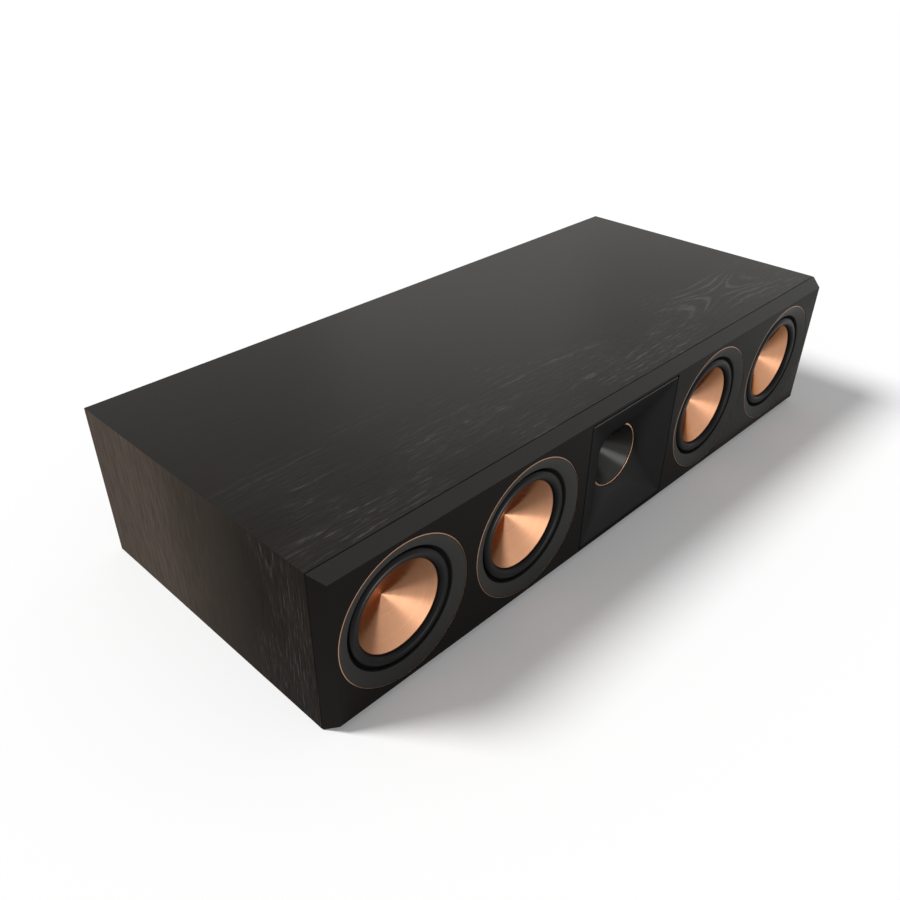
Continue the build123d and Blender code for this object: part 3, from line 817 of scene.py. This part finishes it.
@dataclass
class Woofer:
    """One woofer: its rings, cone, surround and spider."""

    number: int
    x: float
    front: float = -181.0
    level: float = 88.0
    plane: float = 10.0
    ring_segments: int = 240
    accent: float = 75.0
    accent_width: float = 0.85
    accent_inset: float = 0.05
    accent_fall: float = 0.35
    accent_rounding: float = 0.1
    trim_outer: float = 73.7
    trim_inner: float = 61.3
    trim_inset: float = 0.12
    trim_dish: float = 5.2
    trim_roundings: Point = (0.9, 0.35)
    roll_radius: float = 53.0
    roll_half: float = 5.5
    roll_height: float = 5.5
    roll_bed: float = 0.6
    roll_steps: int = 22
    roll_segments: int = 160
    roll_sharp: float = 50.0
    skin: float = 0.9
    edge: float = 61.0
    cone_radius: float = 47.0
    cone_depth: float = 22.5
    cone_wall: float = 0.9
    cone_steps: Tuple[float, ...] = (1.0, 2.0, 4.0, 8.0, 14.0, 20.0, 26.0, 32.0, 38.0, 43.0)
    cone_back: float = 20.0
    cone_segments: int = 192
    tip_radius: float = 0.5
    tip_blunt: float = 0.18
    spider_inner: float = 17.3
    spider_outer: float = 45.7
    spider_plane: float = 37.6
    spider_wave: float = 1.1
    spider_waves: int = 5
    spider_half: float = 0.2
    spider_ease: float = 6.0
    spider_segments: int = 96
    spider_sharp: float = 60.0

    @property
    def body(self) -> str:
        """The moving body's name."""
        return f"woofer_{self.number}"

    @property
    def place(self) -> Spot:
        """The middle of the woofer's front."""
        return (self.x, self.front, self.level)

    def build(self) -> None:
        """Makes the woofer's own pieces."""
        self.accent_ring()
        self.trim_ring()
        self.cone()
        self.surround()
        self.spider()

    def named(self, word: str) -> str:
        """A piece's name with the woofer's number."""
        return f"woofer_{self.number}_{word}"

    def settle(self, piece: bpy.types.Object, finish: Finish, body: str, node: str) -> None:
        """Dresses a rigid piece and sets it on its body.

        Args:
            piece: The piece.
            finish: Its finish.
            body: The body that it rides on.
            node: The CAD node that it stands for.
        """
        face(piece, Side.FRONT, self.place)
        dress(piece, finish)
        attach(piece, body)
        stand_for(piece, node)

    def accent_ring(self) -> None:
        """The thin copper band, falling outwards so that it shows most on the near side."""
        inner, soft = self.accent - self.accent_width, self.accent_rounding
        section = rounded([(inner, self.accent_inset, soft), (self.accent, self.accent_fall, soft),
                           (self.accent, self.plane, 0.0), (inner, self.plane, 0.0)])
        ring = lathe(self.named("accent_band"), section, self.ring_segments)
        self.settle(ring, COPPER_TRIM, "cabinet", "woofer_accent_rings")

    def trim_ring(self) -> None:
        """The dished ring, with soft edges."""
        inner_soft, outer_soft = self.trim_roundings
        section = rounded([(self.trim_inner, self.trim_dish, inner_soft),
                           (self.trim_outer, self.trim_inset, outer_soft),
                           (self.trim_outer, self.plane, 0.0), (self.trim_inner, self.plane, 0.0)])
        ring = lathe(self.named("trim"), section, self.ring_segments)
        self.settle(ring, TRIM, "cabinet", "woofer_trim_rings")

    def cone(self) -> None:
        """The pointed cone, spun in one piece."""
        slope = self.cone_depth / self.cone_radius
        apex = self.plane + self.cone_depth
        tip = [(0.0, apex - self.tip_blunt),
               (self.tip_radius, apex - self.tip_radius * slope - self.tip_blunt / 3)]
        front = [(r, apex - r * slope) for r in (*self.cone_steps, self.cone_radius)]
        back = [(r, apex - r * slope + self.cone_wall)
                for r in (self.cone_radius, self.cone_back, 0.0)]
        cone = lathe(self.named("spun_cone"), tip + front + back, self.cone_segments, closed=False)
        self.settle(cone, CONE_METAL, self.body, self.named("cone"))

    def stretch(self, piece: bpy.types.Object, inner: float, outer: float) -> None:
        """Sets a ring in place and works out, unused, how far each point would follow the cone.

        Args:
            piece: The ring.
            inner: The radius at which a point would follow the cone fully.
            outer: The radius at which a point would stay still.
            outer: The radius that stays with the frame.
        """
        face(piece, Side.FRONT, self.place)
        start = tuple(c * MM for c in self.place)
        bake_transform(piece)
        points = np.array([v.co for v in piece.data.vertices], float) / MM
        radius = np.hypot(points[:, 0] - self.x, points[:, 2] - self.level)
        share = np.clip((outer - radius) / (outer - inner), 0.0, 1.0)

    def surround(self) -> None:
        """The half-roll rubber surround, a skin from the cone's edge to a flat rim on the frame."""
        base = self.plane - self.roll_bed
        height = self.roll_height - self.roll_bed
        outer, inner = self.roll_radius + self.roll_half, self.roll_radius - self.roll_half
        over, under = [], []
        for k in range(self.roll_steps + 1):
            across, up = (f(math.pi * k / self.roll_steps) for f in (math.cos, math.sin))
            over.append((self.roll_radius + self.roll_half * across, base - height * up))
            under.append((self.roll_radius + (self.roll_half - self.skin) * across,
                          base - (height - self.skin) * up + 0.1))
        rim = [(self.edge, self.plane), (self.edge, self.plane - self.skin),
               (outer + self.skin, base - 0.3)]
        lip = [(self.cone_radius + 0.15, base - 0.1), (self.cone_radius - 0.1, base + 0.25),
               (self.cone_radius + 0.05, self.plane - 0.02), (inner + 0.5, self.plane)]
        foot = [(outer - 0.4, self.plane)]
        roll = lathe(self.named("roll"), rim + over + lip + under[::-1] + foot,
                     self.roll_segments, sharp=self.roll_sharp)
        dress(roll, RUBBER, GASKET)
        for side in roll.data.polygons:
            if math.hypot(side.center.x, side.center.y) / MM > outer - 0.3:
                side.material_index = 1
        self.stretch(roll, self.cone_radius + 0.7, outer - 0.2)
        stand_for(roll, "woofer_surrounds")

    def spider(self) -> None:
        """The corrugated cloth disc behind the cone."""
        steps = self.spider_waves * 8
        front, back = [], []
        for k in range(steps + 1):
            share = k / steps
            radius = self.spider_inner + (self.spider_outer - self.spider_inner) * share
            ease = min(1.0, self.spider_ease * share, self.spider_ease * (1 - share))
            wave = math.sin(2 * math.pi * self.spider_waves * share)
            depth = self.spider_plane + self.spider_wave * ease * wave
            front.append((radius, depth - self.spider_half))
            back.append((radius, depth + self.spider_half))
        disc = lathe(self.named("centring_cloth"), front + back[::-1], self.spider_segments,
                     sharp=self.spider_sharp)
        dress(disc, SPIDER_CLOTH)
        self.stretch(disc, self.spider_inner + 0.5, self.spider_outer - 0.5)
        stand_for(disc, "woofer_spiders")


@dataclass
class Horn:
    """The square-to-round horn with its copper ring and the dome in its throat."""

    front: float = -181.0
    level: float = 88.0
    side: float = 152.0
    corner: float = 2.0
    gap: float = 1.6
    lip: float = 3.6
    lip_profile: Tuple[Point, ...] = ((0.0, 0.5), (0.15, 0.15), (0.5, 0.0))
    flange: float = 8.0
    flare_depth: float = 19.6
    flare_radius: float = 37.6
    flare_curve: float = 2.3
    flare_rounding: float = 1.3
    flare_flat: float = 0.04
    flare_steps: int = 30
    corner_steps: int = 18
    shell_sharp: float = 32.0
    ring_width: float = 2.0
    ring_height: float = 1.4
    ring_fit: float = 0.3
    ring_rounding: float = 0.5
    ring_segments: int = 200
    throat_radius: float = 12.7
    throat_depth: float = 54.0
    throat_steps: int = 10
    shoulder: float = 65.0
    shoulder_corner: float = 20.0
    body_depth: float = 28.0
    back_radius: float = 38.0
    dome_inset: float = 2.6
    dome_rise: float = 4.0
    dome_edge: float = 5.3
    dome_skin: float = 0.5
    dome_steps: int = 14
    dome_roll: float = 0.9
    dome_roll_steps: int = 8
    dome_segments: int = 96

    def build(self) -> None:
        """Makes the horn's pieces and dresses the tweeter behind it."""
        self.shell()
        self.ring()
        self.dome()
        dress_nodes(MOULDING, "tweeter_faceplate")
        dress_nodes(FERRITE, "tweeter_magnet")

    def settle(self, piece: bpy.types.Object, slot: str, node: str) -> None:
        """Sets a dressed piece on the cabinet.

        Args:
            piece: The piece.
            slot: Not used.
            node: The CAD node that it stands for.
        """
        face(piece, Side.FRONT, (0.0, self.front, self.level))
        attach(piece, "cabinet")
        stand_for(piece, node)

    def outline(self, half: float, corner: float, depth: float) -> Ring:
        """A square with rounded corners, as a ring of points.

        Args:
            half: Half its side.
            corner: The radius of its corners.
            depth: How far it is behind the front.

        Returns:
            The ring.
        """
        ring = []
        for quarter, (sx, sy) in enumerate(((1, 1), (-1, 1), (-1, -1), (1, -1))):
            for k in range(self.corner_steps + 1):
                angle = (quarter + k / self.corner_steps) * math.pi / 2
                x = sx * (half - corner) + corner * math.cos(angle)
                y = sy * (half - corner) + corner * math.sin(angle)
                ring.append((x, y, -depth))
        return ring

    def rim(self, half: float, depth: float) -> Ring:
        """A square's outline that leaves a groove at the left and at the top.

        Args:
            half: Half the side of the square.
            depth: How far it is behind the front.

        Returns:
            The outline.
        """
        share, shift = 1.0 - self.gap / self.side, self.gap / 2
        square = self.outline(half, self.corner, depth)
        return [(x * share + shift, y * share - shift, z) for x, y, z in square]

    def circle(self, radius: float, depth: float) -> Ring:
        """A circle with the same number of points as a square's outline."""
        return self.outline(radius, radius - self.flare_flat, depth)

    def flare(self, share: float) -> Ring:
        """The flare's outline at a share of its depth, from the square mouth to the round end.

        Args:
            share: The share, 0 at the mouth and 1 at the ring.

        Returns:
            The outline.
        """
        mouth = self.side / 2 - self.lip
        widening = (mouth - self.flare_radius) * (1.0 - share) ** self.flare_curve
        round_corner = self.flare_radius - self.flare_flat
        corner = self.corner + (round_corner - self.corner) * share ** self.flare_rounding
        return self.outline(self.flare_radius + widening, corner, self.flare_depth * share)

    def shell(self) -> None:
        """The moulded horn: rim, flare, ring seat, throat and the body behind."""
        half = self.side / 2
        rim = [self.rim(half, self.flange)]
        rim += [self.rim(half - inset, depth) for inset, depth in self.lip_profile]
        flare = [self.flare(step / self.flare_steps) for step in range(self.flare_steps + 1)]
        seat = self.flare_depth + self.ring_height
        inner = self.flare_radius - self.ring_width - self.ring_fit
        narrowing, length = self.throat_radius - inner, self.throat_depth - seat
        throat = [self.circle(self.flare_radius, seat)]
        for k in range(self.throat_steps + 1):
            share = k / self.throat_steps
            throat.append(self.circle(inner + narrowing * share, seat + length * share))
        body = [self.circle(self.back_radius, self.throat_depth),
                self.circle(self.back_radius, self.body_depth),
                self.outline(self.shoulder, self.shoulder_corner, self.body_depth),
                self.outline(self.shoulder, self.shoulder_corner, self.flange)]
        shell = loft("horn_shell", rim + flare + throat + body, sharp=self.shell_sharp)
        dress(shell, HORN_BLACK, THROAT_GREY, HORN_LIP_HIGHLIGHT)
        for side in shell.data.polygons:
            depth = -side.center.z / MM
            radius = math.hypot(side.center.x, side.center.y) / MM
            line = inner + narrowing * (depth - seat) / length
            if depth > seat and abs(radius - line) < 0.5:
                side.material_index = 1
            # Faces along the top of the lip take the lighter, glossier paint: a painted highlight
            # line.
            elif depth < 0.5 and side.center.y / MM > half - self.gap - 0.5:
                side.material_index = 2
        self.settle(shell, "horn", "horn")

    def ring(self) -> None:
        """The copper ring where the flare meets the throat."""
        outer = self.flare_radius - self.ring_fit
        inner = outer - self.ring_width
        near, far = self.flare_depth, self.flare_depth + self.ring_height
        section = rounded([(inner, near, self.ring_rounding), (outer, near, self.ring_rounding),
                           (outer, far, 0.0), (inner, far, 0.0)])
        ring = lathe("horn_copper_ring", section, self.ring_segments)
        dress(ring, RING_COPPER)
        self.settle(ring, "copper_trim", "horn_accent_ring")

    def dome(self) -> None:
        """The tweeter's dome with its half-roll edge."""
        radius = self.throat_radius - self.dome_inset
        edge = self.throat_radius + self.dome_edge
        plane, back = self.throat_depth, self.throat_depth + self.dome_skin
        cap, roll = [], []
        for k in range(self.dome_steps + 1):
            angle = math.pi / 2 * k / self.dome_steps
            cap.append((radius * math.sin(angle), plane - self.dome_rise * math.cos(angle)))
        for k in range(1, self.dome_roll_steps + 1):
            angle = math.pi * k / self.dome_roll_steps
            roll.append((radius + 1.0 - math.cos(angle), plane - self.dome_roll * math.sin(angle)))
        section = cap + roll + [(edge, plane), (edge, back), (0.0, back)]
        dome = lathe("tweeter_diaphragm", section, self.dome_segments, closed=False)
        dress(dome, DOME_METAL)
        self.settle(dome, "dome_metal", "tweeter_dome")


@dataclass
class Rear:
    """Ports, terminal cup, posts, caps and the small screws at the back.

    A cap's profile gives a ring's inset, its distance from that end and its share of the flutes'
    depth. A screw's profiles give a ring's radius and depth.
    """

    back: float = 181.0
    level: float = 88.0
    port_x: float = 305.0
    port_radius: float = 25.0
    port_wall: float = 2.5
    port_flare: float = 12.0
    port_lip: float = 4.0
    port_flange: float = 3.0
    port_length: float = 110.0
    port_rounding: float = 0.4
    port_steps: int = 12
    port_segments: int = 128
    post_side: float = 9.5
    floor: float = 26.0
    post_radius: float = 3.5
    post_length: float = 22.0
    post_segments: int = 48
    post_sharp: float = 25.0
    post_chamfers: Point = (0.3, 0.4)
    plug_radius: float = 2.05
    plug_depth: float = 16.0
    floor_wall: float = 2.5
    thread_pitch: float = 0.8
    thread_depth: float = 0.3
    cap_start: float = 5.0
    cap_length: float = 16.0
    cap_radius: float = 7.1
    cap_hole: float = 3.56
    cap_near: Tuple[Spot, ...] = (
        (0.8, 0.0, 0.0), (0.3, 0.4, 0.0), (0.3, 2.0, 0.0), (0.0, 2.4, 1.0))
    cap_far: Tuple[Spot, ...] = (
        (0.0, 2.2, 1.0), (0.3, 1.2, 0.6), (1.0, 0.3, 0.0), (1.6, 0.0, 0.0))
    flutes: int = 18
    flute_steps: int = 8
    flute_depth: float = 0.45
    screw_x: float = 42.5
    screw_z: float = 29.5
    screw_socket: Tuple[Point, ...] = ((1.25, 1.3), (1.35, 0.12))
    screw_head: Tuple[Point, ...] = ((1.6, 0.0), (2.5, 0.0), (2.7, 0.2), (2.1, 1.6))
    screw_depths: Point = (1.4, 1.7)
    screw_steps: int = 36
    fine_sharp: float = 30.0

    def build(self) -> None:
        """Makes what shows at the back."""
        dress_nodes(MOULDING, "terminal_cup")
        for word, x in (("left", -self.port_x), ("right", self.port_x)):
            self.port(word, x)
        for word, x in (("red", -self.post_side), ("black", self.post_side)):
            self.post(word, x)
        for finish, x in ((RED_CAP, -self.post_side), (BLACK_CAP, self.post_side)):
            self.cap(finish, x)
        corners = [(sx, sz) for sx in (-1, 1) for sz in (-1, 1)]
        for number, (sx, sz) in enumerate(corners, 1):
            self.screw(number, sx * self.screw_x, self.level + sz * self.screw_z)

    def settle(self, piece: bpy.types.Object, x: float, finish: Finish, body: str,
               node: str) -> None:
        """Dresses a piece and sets it on its body.

        Args:
            piece: The piece.
            x: Its place across the back.
            finish: Its finish, which has the name of its slot.
            body: The body that it rides on.
            node: The CAD node that it stands for.
        """
        face(piece, Side.BACK, (x, self.back, self.level))
        dress(piece, finish)
        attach(piece, body)
        stand_for(piece, node)

    def port(self, word: str, x: float) -> None:
        """A flared port tube.

        Args:
            word: Which port it is.
            x: Its place across the back.
        """
        flare, soft = self.port_flare, self.port_rounding
        mouth = self.port_radius + flare
        outer = self.port_radius + self.port_wall
        flange = mouth + self.port_lip
        collar = self.port_radius + flare / 2 + self.port_wall
        curve = []
        for k in range(self.port_steps + 1):
            angle = math.pi / 2 * k / self.port_steps
            curve.append((mouth - flare * math.cos(angle), flare - flare * math.sin(angle)))
        rim = [(flange - soft, 0.0), (flange, soft), (flange, self.port_flange),
               (collar, self.port_flange)]
        tube = [(outer, flare), (outer, self.port_length), (self.port_radius, self.port_length)]
        port = lathe(f"{word}_port", curve + rim + tube, self.port_segments)
        self.settle(port, x, MOULDING, "cabinet", "rear_ports")

    def post(self, word: str, x: float) -> None:
        """A threaded binding post, bored for a plug.

        Args:
            word: Its colour.
            x: Its place across the back.
        """
        top = self.floor - self.post_length
        bottom = self.floor + self.floor_wall
        bore = top + self.plug_depth
        bore_soft, top_soft = self.post_chamfers
        thread = []
        for k in range(int((self.post_length - 1.0) / self.thread_pitch)):
            depth = top + (k + 1) * self.thread_pitch
            thread += [(self.post_radius - self.thread_depth, depth),
                       (self.post_radius, depth + self.thread_pitch / 2)]
        section = [(0.0, bore), (self.plug_radius, bore), (self.plug_radius, top + bore_soft),
                   (self.plug_radius + bore_soft, top), (self.post_radius - top_soft, top), *thread,
                   (self.post_radius, self.floor), (self.post_radius, bottom), (0.0, bottom)]
        post = lathe(f"{word}_threaded_post", section, self.post_segments, closed=False,
                     sharp=self.post_sharp)
        self.settle(post, x, POST_METAL, "cabinet", f"{word}_post")

    def cap(self, finish: Finish, x: float) -> None:
        """A fluted cap that turns on its post.

        Args:
            finish: Its finish, which has the name of its body.
            x: Its place across the back.
        """
        near = self.floor - self.cap_start
        far = near - self.cap_length
        count = self.flutes * self.flute_steps
        waves = [0.5 - 0.5 * math.cos(2 * math.pi * i / self.flute_steps) for i in range(count)]

        def ring(inset: float, depth: float, share: float) -> Ring:
            """One ring of the cap, with that share of the flutes' depth."""
            flute = self.flute_depth * share
            return turned([self.cap_radius - inset - flute * wave for wave in waves], depth)

        hole = [self.cap_hole] * count
        loops = [turned(hole, near)]
        loops += [ring(inset, near - rise, share) for inset, rise, share in self.cap_near]
        loops += [ring(inset, far + rise, share) for inset, rise, share in self.cap_far]
        loops.append(turned(hole, far))
        word = finish.name.split("_")[0]
        cap = loft(f"{word}_fluted_cap", loops, sharp=self.fine_sharp)
        self.settle(cap, x, finish, finish.name, f"{word}_post_cap")

    def screw(self, number: int, x: float, z: float) -> None:
        """A small countersunk screw with a six-sided socket.

        Args:
            number: Its number.
            x: Its place across the back.
            z: Its height.
        """
        sector = math.pi / 3
        angles = [2 * math.pi * i / self.screw_steps for i in range(self.screw_steps)]
        flats = [math.cos(sector / 2) / math.cos(a % sector - sector / 2) for a in angles]
        top, bottom = ([(0.0, 0.0, -depth)] for depth in self.screw_depths)
        socket = [turned([radius * flat for flat in flats], depth)
                  for radius, depth in self.screw_socket]
        head = [turned([radius] * self.screw_steps, depth) for radius, depth in self.screw_head]
        screw = loft(f"terminal_screw_{number}", [top, *socket, *head, bottom], closed=False,
                     sharp=self.fine_sharp)
        face(screw, Side.BACK, (x, self.back, z))
        dress(screw, SCREW_BLACK)
        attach(screw, "cabinet")
        report(screw)


@dataclass
class Inside:
    """What stays hidden: motors and the crossover."""

    woofers: int = len(WOOFER_PLACES)

    def build(self) -> None:
        """Dresses the hidden CAD nodes."""
        coils = [f"woofer_{number}_voice_coil" for number in range(1, self.woofers + 1)]
        dress_nodes(CAST_FRAME, "woofer_frames")
        dress_nodes(STEEL, "woofer_top_plates", "woofer_yokes")
        dress_nodes(FERRITE, "woofer_magnets")
        dress_nodes(COPPER_WIRE, *coils, "crossover_inductors")
        dress_nodes(CIRCUIT_BOARD, "crossover_board")
        dress_nodes(MOULDING, "crossover_spacers")
        dress_nodes(CAPACITOR, "crossover_capacitors")
        dress_nodes(RESISTOR, "crossover_resistor")


@dataclass(frozen=True)
class Lamp:
    """A soft lamp: its place, its aim, its size, its power and the pieces that it lights."""

    name: str
    place: Spot
    aim: Spot
    size: Point
    power: float
    receivers: Tuple[str, ...]
    sheen: bool = True

    def build(self) -> None:
        """Puts the lamp up for its pieces."""
        light = bpy.data.lights.new(self.name, "AREA")
        light.shape = "RECTANGLE"
        light.size, light.size_y = self.size
        light.energy = self.power
        lamp = bpy.data.objects.new(self.name, light)
        way = Vector(self.aim) - Vector(self.place)
        lamp.location = self.place
        lamp.rotation_euler = way.to_track_quat("-Z", "Y").to_euler()
        lamp.visible_camera = False
        lamp.visible_glossy = self.sheen
        bpy.context.scene.collection.objects.link(lamp)
        chosen = bpy.data.collections.new(f"{self.name}_receivers")
        for name in self.receivers:
            chosen.objects.link(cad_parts.get(name) or bpy.data.objects[name])
        lamp.light_linking.receiver_collection = chosen


HORN_MIDDLE = (0.0, -0.18, 0.09)
SOFT_BOXES = (
    Lamp("throat_box", (-1.9, -2.5, 1.70), HORN_MIDDLE, (1.7, 1.7), 38.0,
         ("horn_shell", "horn_copper_ring")),
    Lamp("horn_box", (0.0, -0.95, 2.30), HORN_MIDDLE, (1.0, 1.0), 80.0, ("horn_shell",), False),
    Lamp("rear_box", (1.08, 1.10, 1.02), (-0.1, 0.0, 0.17), (0.8, 0.6), 1.1, ("cabinet_top",)),
)


@dataclass
class Studio:
    """The pale floor, the white surroundings, the lamps and the camera."""

    camera_place: Spot = (-0.68898, -0.57945, 0.59660)
    azimuth: float = -45.0
    elevation: float = 35.264
    lens: float = 34.479
    sensor: float = 36.0
    shift: Point = (0.01464, 0.04333)
    clip: Point = (0.01, 1000.0)
    floor_half: float = 200000.0
    floor_colour: Colour = (0.985, 0.985, 0.985)
    floor_white: float = 0.16
    ambient: float = 0.30
    key_from: Spot = (0.24, 0.48, 0.85)
    key_level: float = 2.70
    key_spread: float = 20.0
    floor_key_from: Spot = (-0.50, 0.45, 0.74)
    floor_key_level: float = 3.09
    panel_height: float = 0.008
    panel_way: Spot = (0.0, 0.002, 1.0)
    cone_panel_corners: Tuple[Point, ...] = (
        (-0.19, -0.35), (0.09, -0.35), (0.66, -0.48), (0.88, -0.50))
    cone_panel_size: Point = (1.6, 3.2)
    cone_panel_power: float = 27.0
    roll_panel_place: Point = (0.075, -0.450)
    roll_panel_size: Point = (0.11, 0.08)
    roll_panel_powers: Tuple[float, ...] = (1.3, 1.3, 0.5, 0.5)
    face_strip_place: Point = (0.46, -0.222)
    face_strip_size: Point = (0.50, 0.07)
    face_strip_power: float = 0.05

    def build(self) -> None:
        """Sets the stage."""
        self.floor()
        self.world()
        self.sun("key", self.key_from, self.key_level, "EXCLUDE")
        self.sun("floor_key", self.floor_key_from, self.floor_key_level, "INCLUDE")
        self.panels()
        for box in SOFT_BOXES:
            box.build()
        self.camera()
        bpy.context.scene.view_settings.view_transform = "Standard"

    def panels(self) -> None:
        """Lamps flat on the floor before the cones and their trims, the rolls and the face."""
        width, length = self.cone_panel_size
        for number, (right, near) in enumerate(self.cone_panel_corners, 1):
            centre = (right - width / 2, near - length / 2)
            pieces = (f"woofer_{number}_spun_cone", f"woofer_{number}_trim")
            self.panel(f"cone_panel_{number}", centre, self.cone_panel_size, self.cone_panel_power,
                       pieces)
        beside, before = self.roll_panel_place
        for number, power in enumerate(self.roll_panel_powers, 1):
            centre = (WOOFER_PLACES[number - 1] * MM + beside, before)
            self.panel(f"roll_panel_{number}", centre, self.roll_panel_size, power,
                       (f"woofer_{number}_roll",))
        self.panel("face_strip", self.face_strip_place, self.face_strip_size,
                   self.face_strip_power, ("front_baffle",))

    def panel(self, name: str, centre: Point, size: Point, power: float,
              pieces: Tuple[str, ...]) -> None:
        """Lays one lamp flat on the floor, shining up.

        Args:
            name: Its name.
            centre: Its middle.
            size: Its width and length.
            power: Its power.
            pieces: What it lights.
        """
        place = (*centre, self.panel_height)
        aim = tuple(Vector(place) + Vector(self.panel_way))
        Lamp(name, place, aim, size, power, pieces).build()

    def sun(self, name: str, source: Spot, level: float, floor_state: str) -> None:
        """Puts up a broad soft sun that stays out of the sheen.

        Args:
            name: The lamp's name.
            source: The direction that its light comes from.
            level: Its strength.
            floor_state: Whether it lights the floor alone or all but the floor.
        """
        light = bpy.data.lights.new(name, "SUN")
        light.energy = level
        light.angle = math.radians(self.key_spread)
        lamp = bpy.data.objects.new(name, light)
        lamp.rotation_euler = (-Vector(source)).to_track_quat("-Z", "Y").to_euler()
        lamp.visible_glossy = False
        bpy.context.scene.collection.objects.link(lamp)
        chosen = bpy.data.collections.new(f"{name}_receivers")
        chosen.objects.link(bpy.data.objects["floor"])
        chosen.collection_objects[0].light_linking.link_state = floor_state
        lamp.light_linking.receiver_collection = chosen

    def seen(self, graph: Graph) -> Signal:
        """1 for what the camera, reflections and glass see, and 0 for what only lights.

        Args:
            graph: The nodes of the floor or the world.

        Returns:
            The value.
        """
        names = ("Is Camera Ray", "Is Glossy Ray", "Is Transmission Ray")
        camera, glossy, through = (graph.node("ShaderNodeLightPath", output=n) for n in names)
        return camera.over(glossy).over(through)

    def floor(self) -> None:
        """A pale floor that keeps the object's shadow."""
        corners = [(sx * self.floor_half, sy * self.floor_half, 0.0)
                   for sx, sy in ((-1, -1), (1, -1), (1, 1), (-1, 1))]
        floor = mesh_object("floor", corners, [[0, 1, 2, 3]])
        material = bpy.data.materials.new("pale_floor")
        material.use_nodes = True
        graph = Graph(material.node_tree)
        matt = graph.node("ShaderNodeBsdfDiffuse", None, {"Color": self.floor_colour})
        glow = graph.node("ShaderNodeEmission", None, {"Color": WHITE, "Strength": 1.0})
        graph.surface(graph.mixed(self.seen(graph) * self.floor_white, matt, glow))
        floor.data.materials.append(material)

    def world(self) -> None:
        """White surroundings that light the object at a plain level."""
        world = bpy.data.worlds.new("white_room")
        bpy.context.scene.world = world
        world.use_nodes = True
        graph = Graph(world.node_tree)
        strength = self.seen(graph) * (1.0 - self.ambient) + self.ambient
        sky = graph.node("ShaderNodeBackground", None, {"Color": WHITE, "Strength": strength})
        graph.node("ShaderNodeOutputWorld", None, {"Surface": sky})

    def camera(self) -> None:
        """The camera at the photograph's viewing angle."""
        lens = bpy.data.cameras.new("camera")
        lens.sensor_width = self.sensor
        lens.lens = self.lens
        lens.shift_x, lens.shift_y = self.shift
        lens.clip_start, lens.clip_end = self.clip
        camera = bpy.data.objects.new("camera", lens)
        a, e = math.radians(self.azimuth), math.radians(self.elevation)
        back = Vector((math.sin(a) * math.cos(e), -math.cos(a) * math.cos(e), math.sin(e)))
        camera.location = self.camera_place
        camera.rotation_mode = "QUATERNION"
        camera.rotation_quaternion = (-back).to_track_quat("-Z", "Y")
        bpy.context.scene.collection.objects.link(camera)
        bpy.context.scene.camera = camera


def main() -> None:
    """Builds the speaker's looks in order, then the studio."""
    logging.basicConfig(level=logging.INFO, format="%(name)s: %(message)s")
    Cabinet().build()
    for number, x in enumerate(WOOFER_PLACES, 1):
        Woofer(number, x).build()
    Horn().build()
    Rear().build()
    Inside().build()
    Studio().build()


if __name__ == "__main__":
    main()
